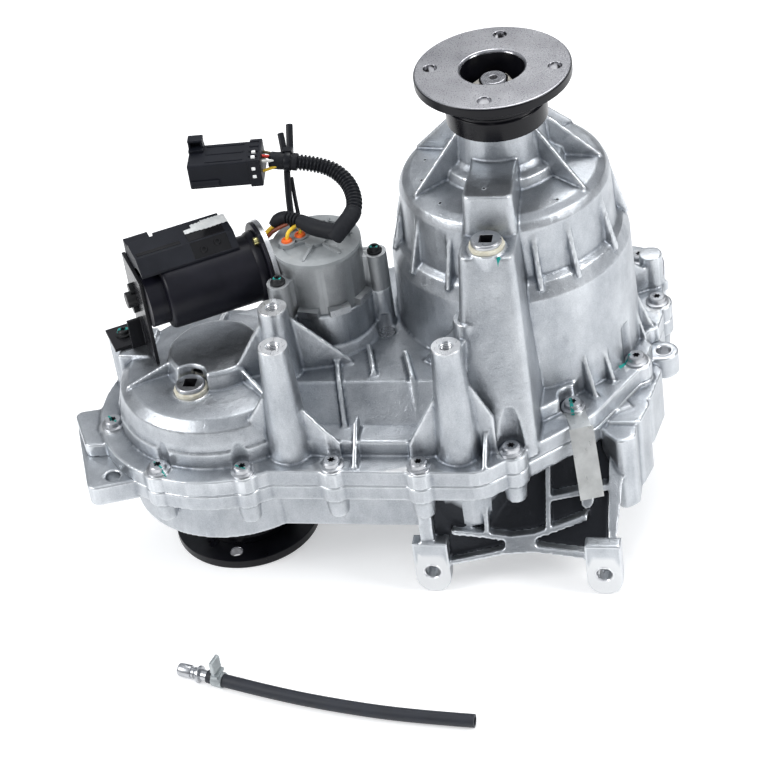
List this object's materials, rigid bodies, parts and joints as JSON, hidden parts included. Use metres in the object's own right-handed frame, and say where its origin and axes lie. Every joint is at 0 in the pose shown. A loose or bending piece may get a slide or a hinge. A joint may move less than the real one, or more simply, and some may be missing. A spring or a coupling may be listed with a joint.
{
  "type": "transfer case",
  "caption": "Cast two-piece transfer case with chain-driven offset front output flange, rear output flange on a tower, electric shift motor, harness and crossmember feet.",
  "frame": {"origin": "on the main shaft axis in the plane of the gearbox face and of the front output flange face", "axes": "+Z along the main shaft towards the rear output flange, +X away from the front output, -Y towards the side with the two feet"},
  "size_m": [0.4767, 0.4622, 0.3771],
  "materials": {
    "cast_aluminium": "as-cast, fine grain, machined faces",
    "zinc_steel": "zinc plated",
    "tag_metal": "plain sheet",
    "black_steel": "black, semi-gloss",
    "flange_steel": "ground face, blackened rim",
    "nut_steel": "phosphated",
    "bearing_steel": "ground",
    "seal_rubber": "moulded",
    "gear_steel": "hardened, oiled",
    "pump_aluminium": "die-cast",
    "black_paint": "black, satin",
    "black_plastic": "moulded",
    "grey_plastic": "moulded",
    "orange_seal": "silicone",
    "yellow_wire": "insulation",
    "pickup_steel": "drawn tube",
    "hose_rubber": "extruded"
  },
  "bodies": {
    "case": {"case_bolts": "zinc_steel", "case_dowels": "zinc_steel", "drain_plug": "zinc_steel", "drive_chain": "gear_steel", "encoder_cover": "grey_plastic", "fill_plug": "zinc_steel", "front_case": "cast_aluminium", "front_lower_bearing": "bearing_steel", "front_seal": "seal_rubber", "front_upper_bearing": "bearing_steel", "gear_housing": "pump_aluminium", "harness_conduit": "black_plastic", "harness_connector": "black_plastic", "harness_strap": "black_plastic", "hose_clamp": "zinc_steel", "housing_bolts": "black_steel", "id_tag": "tag_metal", "input_bearing": "bearing_steel", "input_seal": "seal_rubber", "motor_bracket": "black_steel", "motor_can": "black_paint", "motor_cover": "black_plastic", "motor_end_cap": "black_paint", "motor_foot_bolt": "black_steel", "motor_plate": "pump_aluminium", "motor_screws": "zinc_steel", "motor_wires": "yellow_wire", "oil_pump": "pump_aluminium", "pickup_tube": "pickup_steel", "port_seals": "orange_seal", "rear_bearing": "bearing_steel", "rear_case": "cast_aluminium", "rear_seal": "seal_rubber", "ring_gear": "gear_steel", "shift_rail": "gear_steel", "vent_fitting": "zinc_steel", "vent_hose": "hose_rubber"},
    "rear_output": {"main_shaft": "gear_steel", "rear_flange": "flange_steel", "rear_dust_shield": "black_steel", "rear_nut": "nut_steel", "drive_sprocket": "gear_steel"},
    "input": {"input_shaft": "gear_steel"},
    "carrier": {"carrier": "gear_steel"},
    "planet_1": {"planet_gear_1": "gear_steel"},
    "planet_2": {"planet_gear_2": "gear_steel"},
    "planet_3": {"planet_gear_3": "gear_steel"},
    "front_output": {"front_output_shaft": "gear_steel", "front_flange": "flange_steel", "front_dust_shield": "black_steel", "front_nut": "nut_steel", "driven_sprocket": "gear_steel"},
    "cam": {"shift_cam": "gear_steel", "worm_wheel": "gear_steel"},
    "armature": {"motor_armature": "gear_steel"},
    "range_fork": {"range_fork": "gear_steel"},
    "mode_fork": {"mode_fork": "gear_steel"},
    "range_sleeve": {"range_sleeve": "gear_steel"},
    "mode_sleeve": {"mode_sleeve": "gear_steel"}
  },
  "joints": [
    {"name": "rear_output_spin", "type": "hinge", "parent": "case", "child": "rear_output", "pos_m": [0, 0, 0], "axis": [0, 0, 1], "continuous": true},
    {"name": "input_spin", "type": "hinge", "parent": "case", "child": "input", "pos_m": [0, 0, 0], "axis": [0, 0, 1], "continuous": true},
    {"name": "carrier_spin", "type": "hinge", "parent": "case", "child": "carrier", "pos_m": [0, 0, 0], "axis": [0, 0, 1], "continuous": true},
    {"name": "front_output_spin", "type": "hinge", "parent": "case", "child": "front_output", "pos_m": [-0.2286, -0.0918, 0], "axis": [0, 0, 1], "continuous": true},
    {"name": "shift_cam_turn", "type": "hinge", "parent": "case", "child": "cam", "pos_m": [-0.145, -0.045, 0], "axis": [0, 0, 1], "range_deg": [0, 120]},
    {"name": "motor_spin", "type": "hinge", "parent": "case", "child": "armature", "pos_m": [-0.26395, -0.08497, 0.226], "axis": [0.866, 0.5, 0], "range_deg": [0, 3600]},
    {"name": "range_fork_slide", "type": "slide", "parent": "case", "child": "range_fork", "axis": [0, 0, -1], "range_m": [0, 0.006]},
    {"name": "mode_fork_slide", "type": "slide", "parent": "case", "child": "mode_fork", "axis": [0, 0, 1], "range_m": [0, 0.008]},
    {"name": "range_sleeve_slide", "type": "slide", "parent": "rear_output", "child": "range_sleeve", "axis": [0, 0, -1], "range_m": [0, 0.006]},
    {"name": "mode_sleeve_slide", "type": "slide", "parent": "rear_output", "child": "mode_sleeve", "axis": [0, 0, 1], "range_m": [0, 0.008]},
    {"name": "planet_1_spin", "type": "hinge", "parent": "carrier", "child": "planet_1", "pos_m": [0.04275, 0, 0], "axis": [0, 0, 1], "continuous": true},
    {"name": "planet_2_spin", "type": "hinge", "parent": "carrier", "child": "planet_2", "pos_m": [-0.02137, 0.03702, 0], "axis": [0, 0, 1], "continuous": true},
    {"name": "planet_3_spin", "type": "hinge", "parent": "carrier", "child": "planet_3", "pos_m": [-0.02138, -0.03702, 0], "axis": [0, 0, 1], "continuous": true}
  ],
  "couplings": [
    {"joint": "input_spin", "follows": "rear_output_spin", "ratio": 1},
    {"joint": "front_output_spin", "follows": "rear_output_spin", "ratio": 1},
    {"joint": "carrier_spin", "follows": "rear_output_spin", "ratio": 0.36842},
    {"joint": "motor_spin", "follows": "shift_cam_turn", "ratio": 30},
    {"joint": "range_fork_slide", "follows": "shift_cam_turn", "m_per_rad": 0.0028648},
    {"joint": "mode_fork_slide", "follows": "shift_cam_turn", "m_per_rad": 0.0038197},
    {"joint": "range_sleeve_slide", "follows": "shift_cam_turn", "m_per_rad": 0.0028648},
    {"joint": "mode_sleeve_slide", "follows": "shift_cam_turn", "m_per_rad": 0.0038197},
    {"joint": "planet_1_spin", "follows": "rear_output_spin", "ratio": -1.7684},
    {"joint": "planet_2_spin", "follows": "rear_output_spin", "ratio": -1.7684},
    {"joint": "planet_3_spin", "follows": "rear_output_spin", "ratio": -1.7684}
  ]
}
